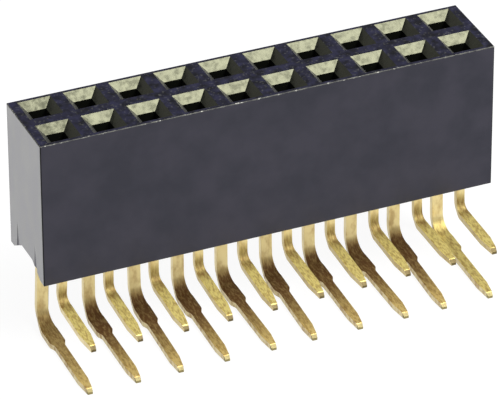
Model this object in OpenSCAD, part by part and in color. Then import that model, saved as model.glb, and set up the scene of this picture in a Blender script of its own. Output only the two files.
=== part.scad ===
// Right-angle female socket strip: two rows of ten sockets in one moulded housing.
// Units are millimetres. +Z is the mating side, +X runs along the strip and the
// tails point towards -Y. Z = 0 is the plane that the lower row of tails stands on.

/* [Housing] */
// Distance between neighbouring sockets along the strip
pitch = 2.54; // [2.3:0.01:4]
// Distance between the two rows of sockets
row_gap = 2.54; // [2.3:0.01:4]
// Plastic beyond the last half pitch at each end
end_margin = 0.18; // [0:0.01:1]
// Size of the housing from front to back
body_depth = 4.85; // [4.7:0.05:7]
// Height of the housing from its feet to the mating face
body_height = 8.5; // [8:0.1:12]
// Radius of the upright edges at the four corners
corner_r = 0.07; // [0.05:0.01:0.3]
// Radius of the long edges at the mating face and the feet
long_edge_r = 0.06; // [0.05:0.01:0.2]
// Radius of the short edges at the two ends
end_edge_r = 0.06; // [0.05:0.01:0.4]

/* [Sockets] */
// Side of the square mouth of each lead-in
mouth_w = 1.86; // [1.4:0.02:2.1]
// Depth of the sloped lead-in
mouth_depth = 0.44; // [0.2:0.02:0.6]
// Side of the square hole that a post passes through
hole_w = 1; // [0.8:0.05:1.2]
// Thickness of the roof over the spring chamber, lead-in included
roof_t = 0.9; // [0.7:0.05:1.4]
// Width of the spring chamber along the strip
chamber_w = 1.5; // [1.3:0.05:1.6]
// Reach of the chamber from the socket's axis towards the outside
chamber_out = 0.6; // [0.5:0.05:0.8]
// Reach of the chamber from the socket's axis towards the other row
chamber_in = 0.75; // [0.6:0.05:0.9]
// Width of the slot under the chamber that grips a contact's plate
slot_w = 1.8; // [1.7:0.05:1.95]
// Height of the ledge between slot and chamber above the feet
ledge_h = 3.2; // [2.8:0.1:4]

/* [Underside] */
// Thickness of the two long skirts
skirt_t = 0.45; // [0.3:0.05:0.6]
// Height of the skirts below the floor that the contacts come out of
skirt_h = 0.72; // [0.4:0.04:1.2]
// Width of the flat top of the notch in each end wall
notch_w = 1.5; // [1:0.1:3]
// Width of the sink groove beside each end socket
sink_w = 0.4; // [0.3:0.05:0.7]
// Depth of a sink groove at the feet, from which it fades out upwards
sink_depth = 0.08; // [0.04:0.01:0.1]
// Height above the feet at which a sink groove has faded out
sink_h = 1.9; // [1.6:0.1:3.5]

/* [Contacts] */
// Thickness of the sheet that a contact is stamped from
sheet_t = 0.3; // [0.2:0.01:0.4]
// Distance from the socket's axis to the inner face of the plate
plate_in = 0.05; // [0:0.01:0.15]
// Length of the plate below the ledge
plate_len = 2.1; // [1.6:0.1:2.3]
// Play between a contact and the plastic beside it
play = 0.05; // [0.02:0.01:0.1]
// Height of each barb
barb_h = 0.35; // [0.2:0.05:0.5]
// Thickness of the two spring leaves
leaf_t = 0.2; // [0.12:0.01:0.25]
// Reach of a leaf from the socket's axis towards the other row
leaf_in = 0.4; // [0.3:0.05:0.5]
// Gap between the leaves where they pinch a post
pinch_gap = 0.34; // [0.1:0.02:0.5]
// Depth of the pinch below the mating face
pinch_depth = 2.3; // [1.8:0.1:3]
// Length of the folded wing below the ledge that carries each leaf
wing_len = 1.3; // [0.8:0.1:1.5]

/* [Legs and tails] */
// Distance from the housing's feet down to the bends of the front row, in mid sheet
tail_drop = 1.8; // [1.6:0.02:4]
// Distance from the bends of the front row down to those of the back row
bend_gap = 3; // [2.5:0.02:4]
// Angle by which the tails of the front row dip, so that both rows close to the board's grid
front_dip = 5.8; // [0:0.1:7]
// Reach of the tail tips in front of the housing
tail_reach = 3.38; // [2:0.01:5]
// Radius inside the bends of the front row
front_bend_r = 0.5; // [0.3:0.05:0.7]
// Radius inside the bends of the back row
back_bend_r = 0.95; // [0.3:0.05:1.1]
// Width of the legs of the back row
back_leg_w = 0.64; // [0.5:0.02:0.8]
// Width of the legs of the front row
front_leg_w = 0.48; // [0.4:0.02:0.7]
// Width of the back row along the first part of its tails
bend_w = 0.88; // [0.7:0.02:1]
// Length of that wide part, shoulders not included
wide_len = 1.2; // [0.8:0.1:3]
// Length of the shoulders that lead from the wide part to the tail's width
shoulder_len = 0.5; // [0.2:0.05:1]
// Width of the tails of the back row
tail_w = 0.56; // [0.4:0.02:0.6]
// Width of the tails of the front row
front_tail_w = 0.6; // [0.4:0.02:0.7]
// Length of the taper at a tail's tip
tip_len = 1.1; // [0.5:0.1:1.5]
// Width left at the end of the taper
tip_w = 0.28; // [0.2:0.02:0.4]
// Length of the coined slope on top of a tail's tip
coin_len = 0.2; // [0.1:0.02:0.4]
// Thickness left at the end of that slope
tip_t = 0.14; // [0.1:0.02:0.25]

/* [Hidden] */
$fn = 48;
columns = 10;
front = -1;
back = 1;
body_len = columns * pitch + 2 * end_margin;
front_y = (tail_reach - body_depth) / 2;
mid_y = front_y + body_depth / 2;
foot_z = tail_drop + bend_gap + sheet_t / 2;
top_z = foot_z + body_height;
ledge_z = foot_z + ledge_h;
end_slot_x = (columns - 1) / 2 * pitch + slot_w / 2;
plate_out = plate_in + sheet_t;
pinch_z = top_z - pinch_depth;
leaf_top = top_z - roof_t - 3 * play;
leaf_base_x = chamber_w / 2 - play - leaf_t;
eps = 0.01;

function socket_x(i) = (i - (columns + 1) / 2) * pitch;
function row_y(side) = mid_y + side * row_gap / 2;
function leg_y(side) = row_y(side) + side * (plate_in + sheet_t / 2);
function tail_z(side) = foot_z - tail_drop - (side == back ? bend_gap : 0);

// Profiles drawn as (x, z) are extruded along Y, and profiles drawn as (y, z) along X
module along_y(depth) { rotate([90, 0, 0]) linear_extrude(depth, center = true) children(); }
module along_x(width) { rotate([90, 0, 90]) linear_extrude(width, center = true) children(); }

module soft_rect(a, b, r) {
    square([a - 2 * r, b], center = true);
    square([a, b - 2 * r], center = true);
    for (sx = [-1, 1], sy = [-1, 1])
        translate([sx * (a / 2 - r), sy * (b / 2 - r)]) circle(r);
}

module block() {
    translate([0, mid_y, foot_z + body_height / 2]) intersection() {
        linear_extrude(body_height, center = true) soft_rect(body_len, body_depth, corner_r);
        along_y(body_depth) soft_rect(body_len, body_height, end_edge_r);
        along_x(body_len) soft_rect(body_depth, body_height, long_edge_r);
    }
}

// Open channel between the skirts, and the sloped notch that opens it through both end walls
module channel() {
    span = body_depth - 2 * skirt_t;
    translate([0, mid_y, foot_z]) {
        along_x(2 * end_slot_x) translate([-span / 2, -1]) square([span, 1 + skirt_h]);
        along_x(body_len + 2) {
            polygon([[-span / 2, 0], [span / 2, 0], [notch_w / 2, skirt_h], [-notch_w / 2, skirt_h]]);
            translate([-span / 2, -1]) square([span, 1]);
        }
    }
}

// Shallow grooves where the plastic has sunk at the thin walls beside the end sockets
module sinks() {
    r = (sink_w * sink_w / 4 + sink_depth * sink_depth) / (2 * sink_depth);
    for (sx = [-1, 1], side = [front, back])
        translate([sx * (body_len / 2 + r - sink_depth), row_y(side), foot_z])
            rotate([0, sx * atan(sink_depth / sink_h), 0])
                translate([0, 0, -1]) cylinder(h = sink_h + 2, r = r, $fn = 64);
}

module lead_in_profile() {
    m = mouth_w / 2;
    h = hole_w / 2;
    rise = (m - h) / mouth_depth;
    polygon([[-h, -mouth_depth], [h, -mouth_depth], [m + rise, 1], [-m - rise, 1]]);
}

// Everything that is cut away for one socket, on its axis, with +Y towards the outside
module socket_space() {
    translate([0, 0, top_z]) intersection() {
        along_x(2 * mouth_w) lead_in_profile();
        along_y(2 * mouth_w) lead_in_profile();
    }
    translate([-hole_w / 2, -hole_w / 2, top_z - roof_t - eps])
        cube([hole_w, hole_w, roof_t - mouth_depth + 2 * eps]);
    translate([-chamber_w / 2, -chamber_in, ledge_z - eps])
        cube([chamber_w, chamber_in + chamber_out, top_z - roof_t - ledge_z + eps]);
    translate([-slot_w / 2, -chamber_in, foot_z])
        cube([slot_w, chamber_in + plate_out, ledge_h]);
}

module housing() {
    color([0.13, 0.13, 0.16]) difference() {
        block();
        channel();
        sinks();
        for (i = [1 : columns], side = [front, back])
            translate([socket_x(i), row_y(side), 0]) mirror([0, side == front ? 1 : 0, 0]) socket_space();
    }
}

function mirrored(pts) = concat(pts, [for (i = [len(pts) - 1 : -1 : 0]) [-pts[i][0], pts[i][1]]]);

// Plate with shoulders that stop under the ledge and barbs that bite the slot's sides
module plate(neck_w) {
    half = slot_w / 2 - play;
    low = ledge_z - plate_len;
    barb_z = low + plate_len / 2;
    translate([0, plate_in + sheet_t / 2, 0]) along_y(sheet_t) polygon(mirrored([
        [neck_w / 2, low - eps], [neck_w / 2, low], [half, low + (half - neck_w / 2)],
        [half, barb_z], [slot_w / 2, barb_z], [half, barb_z + barb_h], [half, ledge_z]
    ]));
}

// Inner face of a leaf: upright at the wing, bowed in to the pinch, flared at its end
function bow(u) = (1 - cos(180 * u)) / 2;
function leaf_x(z) = z <= ledge_z ? leaf_base_x
    : z <= pinch_z ? leaf_base_x + (pinch_gap / 2 - leaf_base_x) * bow((z - ledge_z) / (pinch_z - ledge_z))
    : pinch_gap / 2 + (leaf_base_x - pinch_gap / 2) * (1 - cos(90 * (z - pinch_z) / (leaf_top - pinch_z)));

module leaf() {
    steps = 8;
    z_list = concat([ledge_z - wing_len], [for (i = [0 : steps]) ledge_z + (pinch_z - ledge_z) * i / steps],
        [for (i = [1 : steps]) pinch_z + (leaf_top - pinch_z) * i / steps]);
    inner = [for (z = z_list) [leaf_x(z), z]];
    outer = [for (i = [len(z_list) - 1 : -1 : 0]) [leaf_x(z_list[i]) + leaf_t, z_list[i]]];
    translate([0, (plate_out - leaf_in) / 2, 0]) along_y(plate_out + leaf_in) polygon(concat(inner, outer));
}

// Half width of a tail where its shoulder has gone from 0, wide, to 1, narrow
function shoulder_x(u, wide_w, narrow_w) = (narrow_w + (wide_w - narrow_w) * (1 + cos(180 * u)) / 2) / 2;

// Side view of bend and tail from the leg's lower end, as (y, z) about the bend's centre
module tail_side(bend_r, dip, coin_y, end_y) {
    reach = 2 * (bend_r + sheet_t);
    top = [bend_r * sin(dip), -bend_r * cos(dip)];
    low = [(bend_r + sheet_t) * sin(dip), -(bend_r + sheet_t) * cos(dip)];
    slope = tan(dip);
    end_z = low[1] + (end_y - low[0]) * slope;
    intersection() {
        difference() {
            circle(bend_r + sheet_t);
            circle(bend_r);
        }
        polygon([[0, 0], [reach, 0], [reach, -reach], [reach * sin(dip), -reach * cos(dip)]]);
    }
    translate([bend_r, -eps]) square([sheet_t, 2 * eps]);
    rotate(dip - 90) translate([bend_r, -eps]) square([sheet_t, 2 * eps]);
    polygon([low, top, [coin_y, top[1] + (coin_y - top[0]) * slope], [end_y, end_z + tip_t], [end_y, end_z]]);
}

module leg_and_tail(side, leg_w, wide_w, narrow_w, wide, bend_r, dip) {
    steps = 6;
    y = leg_y(side);
    turn_y = y - sheet_t / 2 - bend_r;
    turn_z = tail_z(side) + (bend_r + sheet_t / 2) * tan((90 - dip) / 2);
    low = ledge_z - plate_len;
    tip_y = front_y - tail_reach;
    wide_y = turn_y - wide;
    shoulder = [for (i = [0 : steps]) [shoulder_x(i / steps, wide_w, narrow_w), wide_y - shoulder_len * i / steps]];
    translate([0, y, 0]) along_y(sheet_t)
        polygon([[-leg_w / 2, low], [leg_w / 2, low], [leg_w / 2, turn_z], [-leg_w / 2, turn_z]]);
    intersection() {
        along_x(wide_w + 1) translate([turn_y, turn_z])
            tail_side(bend_r, dip, tip_y + coin_len - turn_y, tip_y - turn_y);
        linear_extrude(turn_z + 1) polygon(mirrored(concat(
            [[leg_w / 2, y + sheet_t], [leg_w / 2, y - sheet_t / 2]],
            wide > 0 ? [[wide_w / 2, turn_y]] : [[narrow_w / 2, turn_y]],
            wide > 0 ? shoulder : [],
            [[narrow_w / 2, tip_y + tip_len], [tip_w / 2, tip_y]]
        )));
    }
}

module contact(side, i, leg_w, wide_w, narrow_w, wide, bend_r, dip) {
    color("gold") translate([socket_x(i), 0, 0]) {
        translate([0, row_y(side), 0]) mirror([0, side == front ? 1 : 0, 0]) {
            plate(leg_w);
            leaf();
            mirror([1, 0, 0]) leaf();
        }
        leg_and_tail(side, leg_w, wide_w, narrow_w, wide, bend_r, dip);
    }
}

module contact_front(i) { contact(front, i, front_leg_w, front_tail_w, front_tail_w, 0, front_bend_r, front_dip); }
module contact_back(i) { contact(back, i, back_leg_w, bend_w, tail_w, wide_len, back_bend_r, 0); }

housing();
contact_front(1);  // contact_front_01
contact_front(2);  // contact_front_02
contact_front(3);  // contact_front_03
contact_front(4);  // contact_front_04
contact_front(5);  // contact_front_05
contact_front(6);  // contact_front_06
contact_front(7);  // contact_front_07
contact_front(8);  // contact_front_08
contact_front(9);  // contact_front_09
contact_front(10);  // contact_front_10
contact_back(1);  // contact_back_01
contact_back(2);  // contact_back_02
contact_back(3);  // contact_back_03
contact_back(4);  // contact_back_04
contact_back(5);  // contact_back_05
contact_back(6);  // contact_back_06
contact_back(7);  // contact_back_07
contact_back(8);  // contact_back_08
contact_back(9);  // contact_back_09
contact_back(10);  // contact_back_10
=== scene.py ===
"""Dresses the right-angle 2 x 10 female socket strip: a black moulding with gold-flashed contacts."""

from __future__ import annotations

import logging
import math
from collections.abc import Callable, Iterable
from dataclasses import dataclass, field
from enum import Enum
from typing import Any

import bpy
from mathutils import Matrix, Vector

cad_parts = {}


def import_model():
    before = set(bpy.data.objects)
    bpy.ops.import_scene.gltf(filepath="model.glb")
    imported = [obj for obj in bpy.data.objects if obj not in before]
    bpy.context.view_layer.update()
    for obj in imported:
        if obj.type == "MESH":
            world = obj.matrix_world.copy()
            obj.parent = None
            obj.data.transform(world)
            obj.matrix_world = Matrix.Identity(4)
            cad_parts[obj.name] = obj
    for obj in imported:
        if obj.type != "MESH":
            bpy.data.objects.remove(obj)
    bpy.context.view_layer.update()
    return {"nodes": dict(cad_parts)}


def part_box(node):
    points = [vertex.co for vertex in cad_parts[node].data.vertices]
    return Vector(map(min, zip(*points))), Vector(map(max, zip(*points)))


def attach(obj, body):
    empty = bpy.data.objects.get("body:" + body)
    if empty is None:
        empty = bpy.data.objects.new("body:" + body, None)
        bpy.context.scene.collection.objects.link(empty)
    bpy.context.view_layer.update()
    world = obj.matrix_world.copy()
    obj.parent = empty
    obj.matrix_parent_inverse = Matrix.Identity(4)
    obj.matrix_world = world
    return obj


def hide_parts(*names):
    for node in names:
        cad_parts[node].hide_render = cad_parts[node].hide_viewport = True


LOG = logging.getLogger("socket_strip")

MM = 0.001
PITCH = 2.54 * MM
COLUMNS = 10
WELD_MM = 0.0004
FLAT_DEG = 0.6
SHARP_DEG = 30.0
WHITE = (1.0, 1.0, 1.0, 1.0)


class Row(Enum):
    """The two rows of contacts, by the names of their CAD nodes."""

    FRONT = "front"
    BACK = "back"


class Zone(Enum):
    """Zones of the moulding with a material of their own, by material slot. The end carries painted sheen,
    the rim a painted highlight over scuffs, and the corners, top and hole walls painted shade.
    """

    SKIN = 0
    LEAD_IN = 1
    END = 2
    UPRIGHT = 3
    RIM = 4
    HOLE = 5
    MATING = 6


def srgb(hex_colour: str) -> tuple[float, float, float, float]:
    """Turns an sRGB hex colour into the linear values that Blender's sockets take.

    Args:
        hex_colour: Six hex digits, such as "2A2B30".

    Returns:
        Linear red, green and blue, and an alpha of 1.
    """
    channels = [int(hex_colour[i : i + 2], 16) / 255 for i in (0, 2, 4)]
    linear = [c / 12.92 if c <= 0.04045 else ((c + 0.055) / 1.055) ** 2.4 for c in channels]
    return linear[0], linear[1], linear[2], 1.0


def add_node(
    tree: bpy.types.NodeTree,
    kind: str,
    settings: dict[str, Any] | None = None,
    links: dict[str | int, bpy.types.NodeSocket] | None = None,
) -> bpy.types.Node:
    """Adds one shader node with its settings and incoming links.

    Args:
        tree: The node tree that gets the node.
        kind: Blender's identifier of the node.
        settings: Values for the node's input sockets by name or number, or for its properties.
        links: Sockets of other nodes to link to the node's inputs, by input name or number.

    Returns:
        The new node.
    """
    node = tree.nodes.new(kind)
    for key, value in (settings or {}).items():
        if isinstance(key, int) or key in node.inputs:
            node.inputs[key].default_value = value
        else:
            setattr(node, key, value)
    for key, socket in (links or {}).items():
        tree.links.new(socket, node.inputs[key])
    return node


def new_tree(material: bpy.types.Material) -> bpy.types.NodeTree:
    """Switches a material to nodes and empties its tree.

    Args:
        material: The material.

    Returns:
        Its empty node tree.
    """
    material.use_nodes = True
    material.node_tree.nodes.clear()
    return material.node_tree


def pick_only(*pieces: bpy.types.Object) -> None:
    """Selects the given pieces alone and makes the last of them active.

    Args:
        pieces: The pieces, or none to deselect everything.
    """
    bpy.ops.object.select_all(action="DESELECT")
    for piece in pieces:
        piece.select_set(True)
        bpy.context.view_layer.objects.active = piece


def clean_copy(node: bpy.types.Object, name: str) -> bpy.types.Object:
    """Copies a CAD node and turns its loose triangles into one closed skin of flat faces.

    Args:
        node: The CAD node, which stays as it is.
        name: The name of the copy.

    Returns:
        The copy, with its own mesh.
    """
    pick_only(node)
    bpy.ops.object.duplicate(linked=False)
    copy = bpy.context.view_layer.objects.active
    copy.name = copy.data.name = name
    copy.parent = None
    copy.matrix_world = Matrix.Identity(4)
    bpy.ops.object.mode_set(mode="EDIT")
    bpy.ops.mesh.select_all(action="SELECT")
    bpy.ops.mesh.remove_doubles(threshold=WELD_MM * MM)
    bpy.ops.mesh.customdata_custom_splitnormals_clear()
    bpy.ops.mesh.dissolve_limited(angle_limit=math.radians(FLAT_DEG), delimit={"NORMAL"})
    bpy.ops.object.mode_set(mode="OBJECT")
    return copy


def soften_edges(piece: bpy.types.Object, width: float, segments: int, smooth_to: float) -> None:
    """Rounds a piece's sharp edges by a real radius, with its flat faces still shaded flat.

    Args:
        piece: The piece to finish.
        width: Width of the rounding in metres.
        segments: Faces across each rounding.
        smooth_to: Largest angle in degrees between faces that are shaded as one smooth surface.
    """
    pick_only(piece)
    bpy.ops.object.shade_smooth_by_angle(angle=math.radians(smooth_to))
    bevel = piece.modifiers.new("edge_rounding", "BEVEL")
    bevel.width = width
    bevel.segments = segments
    bevel.limit_method = "ANGLE"
    bevel.angle_limit = math.radians(SHARP_DEG)
    bevel.use_clamp_overlap = True
    bevel.harden_normals = True
    bpy.ops.object.modifier_apply(modifier=bevel.name)


@dataclass(frozen=True)
class MouldedPolyester:
    """Black glass-filled polyester, injection moulded in a fine-eroded tool.

    The eye sees a dark violet-grey skin with a satin sheen, faint flow clouds and fine grain. The tool's
    real grain is about 0.02 mm and wouldn't show, so it is drawn coarser.
    """

    name: str = "polyester_moulded_satin"
    colour: str = "0F0F25"
    cloud_colour: str = "252333"
    cloud_mm: float = 1.8
    cloud_stretch: tuple[float, float, float] = (1.0, 1.0, 1.0)
    cloud_range: tuple[float, float] = (0.35, 0.65)
    speck: float = 0.0
    speck_mm: float = 0.13
    speck_colour: str = "6E6E68"
    speck_range: tuple[float, float] = (0.62, 0.72)
    grain_mm: float = 0.09
    grain_depth_mm: float = 0.01
    grain_strength: float = 0.12
    ior: float = 1.5
    roughness: float = 0.36
    roughness_spread: float = 0.05
    sheen: float = 0.0
    sheen_roughness: float = 0.3
    coat: float = 0.0
    coat_ior: float = 1.5
    coat_roughness: float = 0.25

    def build(self) -> bpy.types.Material:
        """Makes the material from three patterns: flow clouds, pale specks and grain.

        Returns:
            The material.
        """
        material = bpy.data.materials.new(self.name)
        tree = new_tree(material)
        place = add_node(tree, "ShaderNodeTexCoord").outputs["Object"]
        drawn = add_node(tree, "ShaderNodeMapping", {"Scale": self.cloud_stretch}, {"Vector": place})
        clouds = add_node(
            tree,
            "ShaderNodeTexNoise",
            {"Scale": 1 / (self.cloud_mm * MM), "Detail": 3.0, "Roughness": 0.55},
            {"Vector": drawn.outputs["Vector"]},
        )
        grain = add_node(
            tree,
            "ShaderNodeTexNoise",
            {"Scale": 1 / (self.grain_mm * MM), "Detail": 2.0, "Roughness": 0.6},
            {"Vector": place},
        )
        patch = add_node(
            tree,
            "ShaderNodeMapRange",
            {"From Min": self.cloud_range[0], "From Max": self.cloud_range[1]},
            {"Value": clouds.outputs["Fac"]},
        )
        tint = add_node(
            tree,
            "ShaderNodeMix",
            {"data_type": "RGBA", 6: srgb(self.colour), 7: srgb(self.cloud_colour)},
            {0: patch.outputs["Result"]},
        )
        dots = add_node(
            tree,
            "ShaderNodeTexNoise",
            {"Scale": 1 / (self.speck_mm * MM), "Detail": 1.0, "Roughness": 0.5},
            {"Vector": place},
        )
        dusty = add_node(
            tree,
            "ShaderNodeMapRange",
            {"From Min": self.speck_range[0], "From Max": self.speck_range[1], "To Max": self.speck},
            {"Value": dots.outputs["Fac"]},
        )
        scuffed = add_node(
            tree,
            "ShaderNodeMix",
            {"data_type": "RGBA", 7: srgb(self.speck_colour)},
            {0: dusty.outputs["Result"], 6: tint.outputs[2]},
        )
        gloss = add_node(
            tree,
            "ShaderNodeMapRange",
            {
                "To Min": self.roughness - self.roughness_spread,
                "To Max": self.roughness + self.roughness_spread,
            },
            {"Value": patch.outputs["Result"]},
        )
        bump = add_node(
            tree,
            "ShaderNodeBump",
            {"Strength": self.grain_strength, "Distance": self.grain_depth_mm * MM},
            {"Height": grain.outputs["Fac"]},
        )
        skin = add_node(
            tree,
            "ShaderNodeBsdfPrincipled",
            {
                "IOR": self.ior,
                "Sheen Weight": self.sheen,
                "Sheen Roughness": self.sheen_roughness,
                "Coat Weight": self.coat,
                "Coat IOR": self.coat_ior,
                "Coat Roughness": self.coat_roughness,
            },
            {
                "Base Color": scuffed.outputs[2],
                "Roughness": gloss.outputs["Result"],
                "Normal": bump.outputs["Normal"],
            },
        )
        add_node(tree, "ShaderNodeOutputMaterial", links={"Surface": skin.outputs["BSDF"]})
        return material


@dataclass(frozen=True)
class PolishedLeadIn:
    """The same polyester where polished core pins shaped it: the sloped lead-ins.

    Against the satin skin the eye sees glassy slopes that catch the lamp in pale, mottled yellow-green,
    a little duller in the first columns, as if the pins there were dulled by use.
    """

    name: str = "polyester_core_pin_polish"
    colour: str = "0A0B08"
    dust_colour: str = "1C1E18"
    dust_range: tuple[float, float] = (0.4, 0.65)
    sheen_colour: str = "F9FAD2"
    sheen: float = 0.5
    sheen_roughness: float = 0.3
    ior: float = 1.68
    smoothest: float = 0.08
    roughest: float = 0.38
    gloss_range: tuple[float, float] = (0.3, 0.65)
    mottle_mm: float = 0.32
    mottle_depth_mm: float = 0.03
    mottle_strength: float = 0.5
    dull_from_mm: float = -8.0
    dull_to_mm: float = -12.0
    dulling: float = 0.12

    def build(self) -> bpy.types.Material:
        """Makes the material from one mottled pattern and the wear of the first columns.

        Returns:
            The material.
        """
        material = bpy.data.materials.new(self.name)
        tree = new_tree(material)
        place = add_node(tree, "ShaderNodeTexCoord").outputs["Object"]
        mottle = add_node(
            tree,
            "ShaderNodeTexNoise",
            {"Scale": 1 / (self.mottle_mm * MM), "Detail": 3.0, "Roughness": 0.55},
            {"Vector": place},
        )
        gloss = add_node(
            tree,
            "ShaderNodeMapRange",
            {
                "From Min": self.gloss_range[0],
                "From Max": self.gloss_range[1],
                "To Min": self.smoothest,
                "To Max": self.roughest,
            },
            {"Value": mottle.outputs["Fac"]},
        )
        axes = add_node(tree, "ShaderNodeSeparateXYZ", links={"Vector": place}).outputs
        dull = add_node(
            tree,
            "ShaderNodeMapRange",
            {
                "From Min": self.dull_from_mm * MM,
                "From Max": self.dull_to_mm * MM,
                "To Max": self.dulling,
            },
            {"Value": axes["X"]},
        )
        rough = add_node(
            tree,
            "ShaderNodeMath",
            {"operation": "ADD"},
            {0: gloss.outputs["Result"], 1: dull.outputs["Result"]},
        )
        patch = add_node(
            tree,
            "ShaderNodeMapRange",
            {"From Min": self.dust_range[0], "From Max": self.dust_range[1]},
            {"Value": mottle.outputs["Fac"]},
        )
        tint = add_node(
            tree,
            "ShaderNodeMix",
            {"data_type": "RGBA", 6: srgb(self.colour), 7: srgb(self.dust_colour)},
            {0: patch.outputs["Result"]},
        )
        bump = add_node(
            tree,
            "ShaderNodeBump",
            {"Strength": self.mottle_strength, "Distance": self.mottle_depth_mm * MM},
            {"Height": mottle.outputs["Fac"]},
        )
        skin = add_node(
            tree,
            "ShaderNodeBsdfPrincipled",
            {
                "IOR": self.ior,
                "Specular Tint": srgb(self.sheen_colour),
                "Sheen Weight": self.sheen,
                "Sheen Roughness": self.sheen_roughness,
            },
            {
                "Base Color": tint.outputs[2],
                "Roughness": rough.outputs["Value"],
                "Normal": bump.outputs["Normal"],
            },
        )
        add_node(tree, "ShaderNodeOutputMaterial", links={"Surface": skin.outputs["BSDF"]})
        return material


class Flash(Enum):
    """Finishes of a contact, by how much painted shade its tail gets past the bend."""

    SATIN = "satin"
    WORN = "worn"
    FADED = "faded"
    BRIGHT = "bright"


class Side(Enum):
    """Faces of a contact that differ in finish, by material slot."""

    ROLLED = 0
    SHEARED = 1


@dataclass(frozen=True)
class Rise:
    """A soft step of an amount, from one to another, while what steers it goes from start to end."""

    start: float
    end: float
    least: float = 0.0
    most: float = 1.0


@dataclass(frozen=True)
class GoldFlash:
    """Phosphor bronze strip with a thin, satin gold flash.

    The eye sees pale warm gold with soft stains, fine specks and faint rolling lines along the strip. Past
    the bend the tail gets painted shade in brown, patchy and fading to gold again towards the tip: painted
    shadow of the housing on the back row, shade in the bend on the front row. Real rolling lines are finer
    than 0.01 mm, so they are drawn coarser to show.
    """

    name: str
    colour: str = "F8E6AA"
    stain_colour: str = "B48C4C"
    tail_colour: str = "F3E088"
    # the brown of the painted shade past the bend
    shade_colour: str = "704C24"
    speck_colour: str = "A47A34"
    tip_colour: str = "8C8256"
    tip_y_mm: float = -3.93
    tip_fade_mm: float = 0.04
    tip_share: float = 0.9
    # painted shade past the bend: its strength, the heights of the bend, and where along the tail it is
    # full and where it ends
    shade_strength: float = 0.0
    bend_top_mm: float = 1.15
    bend_foot_mm: float = 0.5
    shade_full_y_mm: float = 0.9
    shade_end_y_mm: float = -4.4
    leg_metallic: float = 0.92
    tail_metallic: float = 0.45
    smoothest: float = 0.4
    roughest: float = 0.52
    gloss_range: tuple[float, float] = (0.3, 0.7)
    line_mm: float = 0.05
    line_depth_mm: float = 0.006
    line_strength: float = 0.35
    line_stretch: tuple[float, float, float] = (1.0, 0.3, 0.06)
    stain_mm: float = 0.45
    stains: float = 0.5
    stain_range: tuple[float, float] = (0.42, 0.72)
    stain_stretch: tuple[float, float, float] = (1.0, 0.7, 0.5)
    speck_mm: float = 0.1
    specks: float = 0.7
    speck_range: tuple[float, float] = (0.4, 0.7)
    speck_stretch: tuple[float, float, float] = (1.0, 0.3, 0.2)
    # patchiness of the painted shade, and how much rougher the surface is under it
    shade_patch_range: tuple[float, float] = (0.3, 0.6)
    shade_evenness: float = 0.75
    shade_dulling: float = 0.2

    def build(self) -> bpy.types.Material:
        """Makes the material from three patterns along the strip and the places of bend, tail and tip.

        Returns:
            The material.
        """
        material = bpy.data.materials.new(self.name)
        tree = new_tree(material)
        place = add_node(tree, "ShaderNodeTexCoord").outputs["Object"]
        axes = add_node(tree, "ShaderNodeSeparateXYZ", links={"Vector": place}).outputs
        sizes = {
            "stain": (self.stain_mm, self.stain_stretch),
            "speck": (self.speck_mm, self.speck_stretch),
            "line": (self.line_mm, self.line_stretch),
        }
        pattern = {}
        for name, (size_mm, stretch) in sizes.items():
            drawn = add_node(tree, "ShaderNodeMapping", {"Scale": stretch}, {"Vector": place})
            pattern[name] = add_node(
                tree,
                "ShaderNodeTexNoise",
                {"Scale": 1 / (size_mm * MM), "Detail": 3.0, "Roughness": 0.6},
                {"Vector": drawn.outputs["Vector"]},
            ).outputs["Fac"]

        tip_y = self.tip_y_mm * MM
        full_tip_y = (self.tip_y_mm - self.tip_fade_mm) * MM
        rises = {
            "stained": (pattern["stain"], Rise(*self.stain_range, most=self.stains)),
            "specked": (pattern["speck"], Rise(*self.speck_range, most=self.specks)),
            "patchy": (pattern["speck"], Rise(*self.shade_patch_range, least=self.shade_evenness)),
            "coined": (axes["Y"], Rise(tip_y, full_tip_y, most=self.tip_share)),
            "in_tail": (axes["Z"], Rise(self.bend_top_mm * MM, self.bend_foot_mm * MM)),
            "along": (axes["Y"], Rise(self.shade_end_y_mm * MM, self.shade_full_y_mm * MM, most=self.shade_strength)),
        }
        share = {}
        for name, (value, rise) in rises.items():
            share[name] = add_node(
                tree,
                "ShaderNodeMapRange",
                {
                    "interpolation_type": "SMOOTHSTEP",
                    "From Min": rise.start,
                    "From Max": rise.end,
                    "To Min": rise.least,
                    "To Max": rise.most,
                },
                {"Value": value},
            ).outputs["Result"]
        # painted shade: brown past the bend, patchy and fading towards the tip, for the housing's shadow
        # and the shade in the bend
        shade_extent = add_node(
            tree, "ShaderNodeMath", {"operation": "MULTIPLY"}, {0: share["along"], 1: share["in_tail"]}
        ).outputs[0]
        worn = add_node(
            tree, "ShaderNodeMath", {"operation": "MULTIPLY"}, {0: shade_extent, 1: share["patchy"]}
        ).outputs[0]

        leg = add_node(
            tree,
            "ShaderNodeMix",
            {"data_type": "RGBA", 6: srgb(self.colour), 7: srgb(self.stain_colour)},
            {0: share["stained"]},
        ).outputs[2]
        flat = add_node(
            tree,
            "ShaderNodeMix",
            {"data_type": "RGBA", 6: srgb(self.tail_colour), 7: srgb(self.speck_colour)},
            {0: share["specked"]},
        ).outputs[2]
        tail = add_node(
            tree,
            "ShaderNodeMix",
            {"data_type": "RGBA", 7: srgb(self.tip_colour)},
            {0: share["coined"], 6: flat},
        ).outputs[2]
        plated = add_node(
            tree, "ShaderNodeMix", {"data_type": "RGBA"}, {0: share["in_tail"], 6: leg, 7: tail}
        ).outputs[2]
        tint = add_node(
            tree, "ShaderNodeMix", {"data_type": "RGBA", 7: srgb(self.shade_colour)}, {0: worn, 6: plated}
        ).outputs[2]

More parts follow.
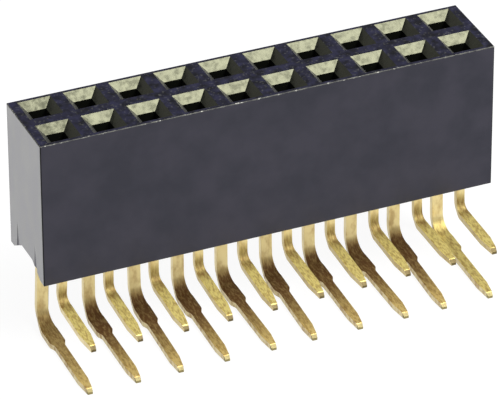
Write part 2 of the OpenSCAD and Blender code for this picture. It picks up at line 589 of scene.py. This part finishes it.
        gloss = add_node(
            tree,
            "ShaderNodeMapRange",
            {
                "From Min": self.gloss_range[0],
                "From Max": self.gloss_range[1],
                "To Min": self.smoothest,
                "To Max": self.roughest,
            },
            {"Value": pattern["stain"]},
        )
        dulled = add_node(
            tree,
            "ShaderNodeMath",
            {"operation": "MULTIPLY_ADD", 1: self.shade_dulling},
            {0: worn, 2: gloss.outputs["Result"]},
        )
        shine = add_node(
            tree,
            "ShaderNodeMapRange",
            {"To Min": self.leg_metallic, "To Max": self.tail_metallic},
            {"Value": share["in_tail"]},
        )
        bump = add_node(
            tree,
            "ShaderNodeBump",
            {"Strength": self.line_strength, "Distance": self.line_depth_mm * MM},
            {"Height": pattern["line"]},
        )
        metal = add_node(
            tree,
            "ShaderNodeBsdfPrincipled",
            links={
                "Base Color": tint,
                "Metallic": shine.outputs["Result"],
                "Roughness": dulled.outputs["Value"],
                "Normal": bump.outputs["Normal"],
            },
        )
        add_node(tree, "ShaderNodeOutputMaterial", links={"Surface": metal.outputs["BSDF"]})
        return material


@dataclass(frozen=True)
class MouldShadow:
    """Unlit polyester inside the post holes and spring chambers, seen only through the sockets.

    The walls are painted near-black for the shade in there, with no sheen at all.
    """

    name: str = "polyester_hole_painted_shade"
    colour: str = "080A05"
    roughness: float = 0.9
    specular: float = 0.1

    def build(self) -> bpy.types.Material:
        """Makes the material.

        Returns:
            The material.
        """
        material = bpy.data.materials.new(self.name)
        tree = new_tree(material)
        wall = add_node(
            tree,
            "ShaderNodeBsdfPrincipled",
            {
                "Base Color": srgb(self.colour),
                "Roughness": self.roughness,
                "Specular IOR Level": self.specular,
            },
        )
        add_node(tree, "ShaderNodeOutputMaterial", links={"Surface": wall.outputs["BSDF"]})
        return material


def housing_finishes() -> dict[Zone, MouldedPolyester | PolishedLeadIn | MouldShadow]:
    """Gives each zone of the moulding its finish.

    Returns:
        The finishes by zone.
    """
    return {
        Zone.SKIN: MouldedPolyester(),
        Zone.LEAD_IN: PolishedLeadIn(),
        # painted sheen: the end faces get a lighter copy of the skin, with full sheen and a coat, so that
        # they look lit from the side
        Zone.END: MouldedPolyester(
            name="polyester_end_painted_sheen",
            colour="12121A",
            cloud_colour="363448",
            cloud_mm=0.9,
            cloud_stretch=(1.0, 1.0, 0.5),
            sheen=1.0,
            coat=0.8,
            coat_ior=1.7,
        ),
        # painted shade: a darker, duller copy of the skin on the rounded upright corners, for the dark band
        # where they turn away from the light
        Zone.UPRIGHT: MouldedPolyester(
            name="polyester_corner_painted_shade",
            colour="0C0C0E",
            cloud_colour="141416",
            roughness=0.6,
            ior=1.3,
        ),
        # painted highlight and scuffs: pale clouds on the rounded top and bottom edges paint the light line
        # along the rim, and the pale specks are scuffs
        Zone.RIM: MouldedPolyester(
            name="polyester_rim_highlight_and_scuffs",
            colour="1C1C1E",
            cloud_colour="66665F",
            cloud_mm=0.3,
            speck_colour="C4C4BA",
            speck=0.9,
            roughness=0.5,
        ),
        Zone.HOLE: MouldShadow(),
        # painted shade: the mating face gets a darker copy of the skin, for the little light it catches;
        # its grey specks are dust
        Zone.MATING: MouldedPolyester(
            name="polyester_mating_painted_shade",
            colour="00000E",
            cloud_colour="24243E",
            cloud_mm=0.5,
            ior=1.4,
            speck=0.4,
        ),
    }


@dataclass
class Housing:
    """The moulded body with its lead-ins, chambers, skirts and end notches.

    A face that looks along an axis has more than `facing` of its normal there, and one whose largest share
    is under `rounded` belongs to a rounded edge. A lead-in's slope has `slope` of its normal upwards.
    """

    node: str = "housing"
    edge_mm: float = 0.03
    edge_faces: int = 2
    smooth_to_deg: float = 2.0
    lead_in_depth_mm: float = 0.44
    mouth_mm: float = 1.86
    mouth_spare_mm: float = 0.02
    hole_mm: float = 1.0
    hole_spare_mm: float = 0.03
    hole_top_mm: float = 0.2
    outer_edge_mm: float = 0.09
    slope: tuple[float, float] = (0.5, 0.9)
    facing: float = 0.85
    rounded: float = 0.97
    finishes: dict[Zone, MouldedPolyester | PolishedLeadIn | MouldShadow] = field(
        default_factory=housing_finishes
    )

    def build(self, nodes: dict[str, bpy.types.Object]) -> bpy.types.Object:
        """Models the moulding over its CAD solid and dresses it.

        Args:
            nodes: The CAD nodes by name.

        Returns:
            The finished piece.
        """
        body = clean_copy(nodes[self.node], "housing_moulding")
        soften_edges(body, self.edge_mm * MM, self.edge_faces, self.smooth_to_deg)
        self.dress(body)
        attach(body, "root")
        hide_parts(self.node)
        return body

    def dress(self, body: bpy.types.Object) -> None:
        """Gives each zone of the moulding its own finish.

        Args:
            body: The moulding.
        """
        body.data.materials.clear()
        for zone in Zone:
            body.data.materials.append(self.finishes[zone].build())
        low, high = (Vector(corner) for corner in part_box(self.node))
        for face in body.data.polygons:
            face.material_index = self.zone(face.center, face.normal, low, high).value

    def zone(self, place: Vector, normal: Vector, low: Vector, high: Vector) -> Zone:
        """Tells which zone a face belongs to.

        Args:
            place: Middle of the face.
            normal: Its outward direction.
            low: Lowest corner of the moulding.
            high: Highest corner of the moulding.

        Returns:
            The zone.
        """
        middle = (low.y + high.y) / 2
        column = place.x / PITCH - 0.5
        across = abs(column - round(column)) * PITCH
        along = abs(abs(place.y - middle) - PITCH / 2)
        from_socket = max(across, along)
        depth = high.z - place.z
        flattest, steepest = self.slope[1], self.slope[0]
        in_mouth = from_socket < (self.mouth_mm / 2 + self.mouth_spare_mm) * MM
        if steepest < normal.z < flattest and in_mouth and depth < self.lead_in_depth_mm * MM:
            return Zone.LEAD_IN
        in_hole = from_socket < (self.hole_mm / 2 + self.hole_spare_mm) * MM
        if in_hole and depth > self.hole_top_mm * MM and normal.z < steepest:
            return Zone.HOLE
        edge = self.outer_edge_mm * MM
        beside = [min(place[i] - low[i], high[i] - place[i]) < edge for i in range(3)]
        if max(abs(part) for part in normal) < self.rounded and sum(beside) > 1:
            return Zone.RIM if beside[2] else Zone.UPRIGHT
        if abs(normal.x) > self.facing and beside[0]:
            return Zone.END
        if normal.z > self.facing and beside[2]:
            return Zone.MATING
        return Zone.SKIN


@dataclass(frozen=True)
class Bend:
    """How one contact strays from a perfect bend, as stamped strip does when it is formed."""

    lean_mm: float = 0.0
    swing_deg: float = 0.0
    dip_deg: float = 0.0
    flash: Flash = Flash.SATIN


@dataclass
class Contacts:
    """One row of ten stamped contacts, bent each a little differently.

    Only what is under the housing, below `foot_z_mm`, is bent, and the tail turns about `bend_y_mm`. A face
    with more than `sheared` of its normal along the row was sheared by the die. The others were rolled.
    """

    row: Row
    bends: tuple[Bend, ...]
    bend_y_mm: float
    foot_z_mm: float = 4.95
    edge_mm: float = 0.03
    edge_faces: int = 2
    smooth_to_deg: float = 25.0
    sheared: float = 0.8

    def build(
        self,
        nodes: dict[str, bpy.types.Object],
        metals: dict[Flash, list[bpy.types.Material]],
    ) -> list[bpy.types.Object]:
        """Models the first contact once, copies it along the row and bends each copy.

        Args:
            nodes: The CAD nodes by name.
            metals: For each finish, the materials of the rolled and the sheared faces.

        Returns:
            The ten finished pieces.
        """
        first = clean_copy(nodes[self.node_name(1)], self.piece_name(1))
        soften_edges(first, self.edge_mm * MM, self.edge_faces, self.smooth_to_deg)
        for face in first.data.polygons:
            side = Side.SHEARED if abs(face.normal.x) > self.sheared else Side.ROLLED
            face.material_index = side.value
        pieces = [first]
        for number in range(2, COLUMNS + 1):
            pick_only(first)
            bpy.ops.object.duplicate(linked=False)
            piece = bpy.context.view_layer.objects.active
            piece.name = piece.data.name = self.piece_name(number)
            bpy.ops.transform.translate(value=(PITCH * (number - 1), 0, 0))
            bpy.ops.object.transform_apply(location=True, rotation=False, scale=False)
            pieces.append(piece)
        for number, piece in enumerate(pieces, 1):
            self.plate(piece, metals[self.bends[number - 1].flash])
            self.stray(piece, number)
            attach(piece, "root")
            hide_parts(self.node_name(number))
        return pieces

    @staticmethod
    def plate(piece: bpy.types.Object, metals: list[bpy.types.Material]) -> None:
        """Gives a contact the two materials of its finish and keeps which face has which.

        Args:
            piece: The contact.
            metals: The materials of its rolled and its sheared faces.
        """
        sides = [face.material_index for face in piece.data.polygons]
        piece.data.materials.clear()
        for metal in metals:
            piece.data.materials.append(metal)
        for face, side in zip(piece.data.polygons, sides):
            face.material_index = side

    def stray(self, piece: bpy.types.Object, number: int) -> None:
        """Leans one contact's leg and turns its tail by the contact's own small amounts.

        Args:
            piece: The contact.
            number: Its place in the row, from 1.
        """
        bend = self.bends[number - 1]
        axis_x = PITCH * (number - (COLUMNS + 1) / 2) + bend.lean_mm * MM
        turn_y = self.bend_y_mm * MM
        foot_z = self.foot_z_mm * MM
        pick_only(piece)
        self.pick_vertices(piece, lambda place: place.z < foot_z)
        if bend.lean_mm:
            bpy.ops.transform.translate(value=(bend.lean_mm * MM, 0, 0))
        bpy.ops.object.mode_set(mode="OBJECT")
        tail = [v.co for v in piece.data.vertices if v.co.y < turn_y and v.co.z < foot_z]
        turn_z = max(place.z for place in tail)
        for angle, axis in ((bend.swing_deg, "Z"), (bend.dip_deg, "X")):
            if angle:
                self.pick_vertices(piece, lambda place: place.y < turn_y and place.z < foot_z)
                bpy.ops.transform.rotate(
                    value=math.radians(-angle), orient_axis=axis, center_override=(axis_x, turn_y, turn_z)
                )
                bpy.ops.object.mode_set(mode="OBJECT")

    @staticmethod
    def pick_vertices(piece: bpy.types.Object, wanted: Callable[[Vector], bool]) -> None:
        """Selects the vertices whose place is wanted and enters edit mode.

        Args:
            piece: The contact.
            wanted: Tells whether the vertex at a place is wanted.
        """
        bpy.ops.object.mode_set(mode="EDIT")
        bpy.ops.mesh.select_mode(type="VERT")
        bpy.ops.mesh.select_all(action="DESELECT")
        bpy.ops.object.mode_set(mode="OBJECT")
        for vertex in piece.data.vertices:
            vertex.select = wanted(vertex.co)
        bpy.ops.object.mode_set(mode="EDIT")

    def node_name(self, number: int) -> str:
        """Name of the CAD node of one contact."""
        return f"contact_{self.row.value}_{number:02d}"

    def piece_name(self, number: int) -> str:
        """Name of the dressed piece of one contact."""
        return f"{self.row.value}_contact_{number:02d}"


def contact_rows() -> tuple[Contacts, Contacts]:
    """Describes the two rows of contacts, each with its ten stray bends from left to right.

    Returns:
        The front row and the back row.
    """
    front = Contacts(
        Row.FRONT,
        bends=(
            Bend(-0.13, 1.0, -0.5),
            Bend(-0.03, 0.8, 0.4),
            Bend(0.0, 1.3, 1.4),
            Bend(0.0, 0.6, 1.5),
            Bend(0.0, 0.8, 1.3),
            Bend(0.05, 2.0, 0.2),
            Bend(0.0, 1.5, -0.3),
            Bend(0.02, 1.2, -1.5),
            Bend(0.05, 2.5, -1.8),
            Bend(0.03, 0.5, -3.3),
        ),
        bend_y_mm=-0.43,
    )
    back = Contacts(
        Row.BACK,
        bends=(
            Bend(-0.2, -1.0, 0.0, Flash.FADED),
            Bend(-0.05, -0.8, 0.0, Flash.WORN),
            Bend(0.04, -2.7, 0.0, Flash.WORN),
            Bend(0.0, -1.5, 0.0, Flash.WORN),
            Bend(0.0, -0.3, 0.0, Flash.WORN),
            Bend(0.07, -2.7, 0.0, Flash.WORN),
            Bend(0.05, -1.5, 0.0, Flash.WORN),
            Bend(0.0, 0.2, 0.0, Flash.WORN),
            Bend(0.02, -2.7, 0.0, Flash.WORN),
            Bend(0.08, -1.7, 0.0, Flash.BRIGHT),
        ),
        bend_y_mm=2.06,
    )
    return front, back


def contact_metals() -> dict[Flash, list[bpy.types.Material]]:
    """Makes the materials of the contacts.

    Returns:
        For each finish, the material of the rolled faces and then that of the paler sheared ones.
    """
    sheared = GoldFlash(
        "bronze_sheared_edge",
        colour="EEDFB0",
        stain_colour="C9B073",
        tail_colour="EEDFB0",
    ).build()
    rolled = {
        # how strong the painted shade is: the shade in the bend on the front row, the housing's shadow on
        # the back row
        Flash.SATIN: GoldFlash(
            "gold_flash_satin",
            tip_colour="4C3C1C",
            shade_strength=0.65,
            bend_top_mm=4.4,
            bend_foot_mm=3.6,
            shade_full_y_mm=-0.3,
            shade_end_y_mm=-1.3,
        ),
        Flash.WORN: GoldFlash("gold_flash_full_painted_shade", tail_colour="F2D688", shade_strength=1.0),
        Flash.FADED: GoldFlash("gold_flash_half_painted_shade", tail_colour="F2D688", shade_strength=0.66),
        Flash.BRIGHT: GoldFlash("gold_flash_bright", shade_strength=0.15),
    }
    return {flash: [finish.build(), sheared] for flash, finish in rolled.items()}


@dataclass(frozen=True)
class SoftBox:
    """A square white soft box that faces the object, where a glow of 1 is a face as bright as white."""

    name: str
    towards: tuple[float, float, float]
    distance_m: float
    side_m: float
    glow: float

    def hang(self, aim: Vector) -> None:
        """Adds the lamp.

        Args:
            aim: The point that it faces.
        """
        data = bpy.data.lights.new(self.name, "AREA")
        data.shape = "SQUARE"
        data.size = self.side_m
        data.energy = self.glow * math.pi * self.side_m * self.side_m
        lamp = bpy.data.objects.new(self.name, data)
        bpy.context.collection.objects.link(lamp)
        way = Vector(self.towards).normalized()
        lamp.location = aim + way * self.distance_m
        lamp.rotation_euler = way.to_track_quat("Z", "Y").to_euler()


@dataclass
class Studio:
    """Pale table, soft lamps, surroundings and the photograph's camera.

    Lamps light the table as plain pale grey, `table_grey`. For the eye and for gloss it glows with
    `table_glow` over a dark `table_shadow`, so that it is white and the object's shadow stays faint.
    """

    table_m: float = 1.2
    table_gap_mm: float = 0.01
    table_grey: float = 0.8
    table_shadow: float = 0.16
    table_glow: float = 0.9
    world_glow: float = 0.3
    world_white: float = 1.0
    boxes: tuple[SoftBox, ...] = (
        SoftBox("key_box", (0.334, -0.524, 0.783), 0.26, 0.14, 9.6),
        SoftBox("top_box", (-0.2, -0.1, 1.0), 0.30, 0.20, 1.6),
    )
    camera_place_mm: tuple[float, float, float] = (-88.16, -204.694, 145.062)
    camera_turn_deg: tuple[float, float, float] = (58.1613, 0.2123, -23.219)
    lens_mm: float = 357.76
    sensor_mm: float = 36.0
    view_m: tuple[float, float] = (0.01, 10.0)
    aim_mm: tuple[float, float, float] = (0.0, 0.0, 6.7)

    def build(self) -> None:
        """Sets up everything around the object."""
        self.table()
        self.surroundings()
        for box in self.boxes:
            box.hang(Vector(self.aim_mm) * MM)
        self.camera()
        bpy.context.scene.view_settings.view_transform = "Standard"

    def table(self) -> None:
        """Adds the white table, which glows white for the eye and for gloss and keeps a faint shadow."""
        pick_only()
        bpy.ops.mesh.primitive_plane_add(size=self.table_m, location=(0, 0, -self.table_gap_mm * MM))
        table = bpy.context.view_layer.objects.active
        table.name = table.data.name = "table"
        material = bpy.data.materials.new("white_table")
        tree = new_tree(material)
        path = add_node(tree, "ShaderNodeLightPath").outputs
        seen = add_node(
            tree,
            "ShaderNodeMath",
            {"operation": "MAXIMUM"},
            {0: path["Is Camera Ray"], 1: path["Is Glossy Ray"]},
        )
        shown = add_node(
            tree,
            "ShaderNodeMath",
            {"operation": "MAXIMUM"},
            {0: seen.outputs["Value"], 1: path["Is Transmission Ray"]},
        )
        lit = (self.table_grey,) * 3 + (1.0,)
        viewed = (self.table_shadow,) * 3 + (1.0,)
        shade = add_node(
            tree, "ShaderNodeMix", {"data_type": "RGBA", 6: lit, 7: viewed}, {0: shown.outputs["Value"]}
        )
        matt = add_node(tree, "ShaderNodeBsdfDiffuse", links={"Color": shade.outputs[2]})
        strength = add_node(
            tree,
            "ShaderNodeMath",
            {"operation": "MULTIPLY", 1: self.table_glow},
            {0: shown.outputs["Value"]},
        )
        glow = add_node(
            tree, "ShaderNodeEmission", {"Color": WHITE}, {"Strength": strength.outputs["Value"]}
        )
        both = add_node(tree, "ShaderNodeAddShader", links={0: matt.outputs[0], 1: glow.outputs[0]})
        add_node(tree, "ShaderNodeOutputMaterial", links={"Surface": both.outputs[0]})
        table.data.materials.append(material)

    def surroundings(self) -> None:
        """Gives the world a soft grey glow that shows white behind the object."""
        world = bpy.data.worlds.new("studio")
        bpy.context.scene.world = world
        world.use_nodes = True
        tree = world.node_tree
        tree.nodes.clear()
        path = add_node(tree, "ShaderNodeLightPath").outputs
        strength = add_node(
            tree,
            "ShaderNodeMapRange",
            {"To Min": self.world_glow, "To Max": self.world_white},
            {"Value": path["Is Camera Ray"]},
        )
        glow = add_node(
            tree, "ShaderNodeBackground", {"Color": WHITE}, {"Strength": strength.outputs["Result"]}
        )
        add_node(tree, "ShaderNodeOutputWorld", links={"Surface": glow.outputs[0]})

    def camera(self) -> None:
        """Sets the camera where the photograph was taken from."""
        data = bpy.data.cameras.new("photo_camera")
        data.sensor_fit = "HORIZONTAL"
        data.sensor_width = self.sensor_mm
        data.lens = self.lens_mm
        data.clip_start, data.clip_end = self.view_m
        camera = bpy.data.objects.new("photo_camera", data)
        bpy.context.collection.objects.link(camera)
        camera.location = Vector(self.camera_place_mm) * MM
        camera.rotation_euler = [math.radians(a) for a in self.camera_turn_deg]
        bpy.context.scene.camera = camera


def main() -> None:
    """Builds the studio and dresses each piece in turn."""
    logging.basicConfig(level=logging.INFO, format="%(name)s: %(message)s")
    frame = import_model()
    Studio().build()
    body = Housing().build(frame["nodes"])
    LOG.info("%s: %d faces", body.name, len(body.data.polygons))
    metals = contact_metals()
    for row in contact_rows():
        pieces = row.build(frame["nodes"], metals)
        faces = len(pieces[0].data.polygons)
        LOG.info("%s row: %d contacts of %d faces", row.row.value, len(pieces), faces)


if __name__ == "__main__":
    main()
